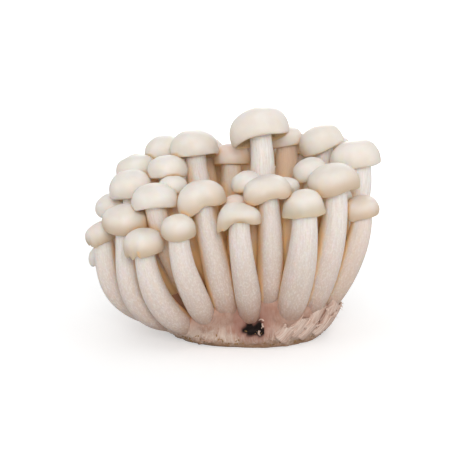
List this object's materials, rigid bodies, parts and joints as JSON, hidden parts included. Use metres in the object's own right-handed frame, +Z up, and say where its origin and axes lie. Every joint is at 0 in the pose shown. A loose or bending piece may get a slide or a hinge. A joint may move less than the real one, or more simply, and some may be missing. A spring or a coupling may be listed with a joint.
{
  "type": "white shimeji mushroom bunch",
  "caption": "Bunch of white shimeji mushrooms grown from one cut butt: stems fan out and turn up, each under a small domed cap with an inrolled margin. Stands on its flat cut.",
  "frame": {"origin": "on the flat cut under the butt, below the middle of the bunch's outline", "axes": "+Z up along the stems; -Y the front, where the lowest caps stand before the tall ones; +X to the right, along the bunch's width"},
  "size_m": [0.122, 0.1058, 0.0966],
  "materials": {
    "mushroom_flesh": "smooth, semi-matte, ivory-white",
    "butt_mycelium": "rough, fibrous, matte, pinkish beige"
  },
  "bodies": {
    "root": {"butt": "butt_mycelium", "front_mushroom_01": "mushroom_flesh", "front_mushroom_02": "mushroom_flesh", "front_mushroom_03": "mushroom_flesh", "front_mushroom_04": "mushroom_flesh", "front_mushroom_05": "mushroom_flesh", "front_mushroom_06": "mushroom_flesh", "front_mushroom_07": "mushroom_flesh", "front_mushroom_08": "mushroom_flesh", "front_mushroom_09": "mushroom_flesh", "front_mushroom_10": "mushroom_flesh", "second_row_mushroom_01": "mushroom_flesh", "second_row_mushroom_02": "mushroom_flesh", "second_row_mushroom_03": "mushroom_flesh", "second_row_mushroom_04": "mushroom_flesh", "second_row_mushroom_05": "mushroom_flesh", "second_row_mushroom_06": "mushroom_flesh", "second_row_mushroom_07": "mushroom_flesh", "second_row_mushroom_08": "mushroom_flesh", "second_row_mushroom_09": "mushroom_flesh", "second_row_mushroom_10": "mushroom_flesh", "crown_mushroom_01": "mushroom_flesh", "crown_mushroom_02": "mushroom_flesh", "crown_mushroom_03": "mushroom_flesh", "crown_mushroom_04": "mushroom_flesh", "crown_mushroom_05": "mushroom_flesh", "crown_mushroom_06": "mushroom_flesh", "crown_mushroom_07": "mushroom_flesh", "crown_mushroom_08": "mushroom_flesh", "crown_mushroom_09": "mushroom_flesh", "crown_mushroom_10": "mushroom_flesh", "back_mushroom_01": "mushroom_flesh", "back_mushroom_02": "mushroom_flesh", "back_mushroom_03": "mushroom_flesh", "back_mushroom_04": "mushroom_flesh", "back_mushroom_05": "mushroom_flesh", "back_mushroom_06": "mushroom_flesh", "back_mushroom_07": "mushroom_flesh", "back_mushroom_08": "mushroom_flesh", "back_mushroom_09": "mushroom_flesh", "back_mushroom_10": "mushroom_flesh", "back_mushroom_11": "mushroom_flesh", "back_mushroom_12": "mushroom_flesh", "back_mushroom_13": "mushroom_flesh", "back_mushroom_14": "mushroom_flesh", "back_mushroom_15": "mushroom_flesh", "back_mushroom_16": "mushroom_flesh", "back_mushroom_17": "mushroom_flesh", "back_mushroom_18": "mushroom_flesh", "back_mushroom_19": "mushroom_flesh"}
  },
  "joints": []
}
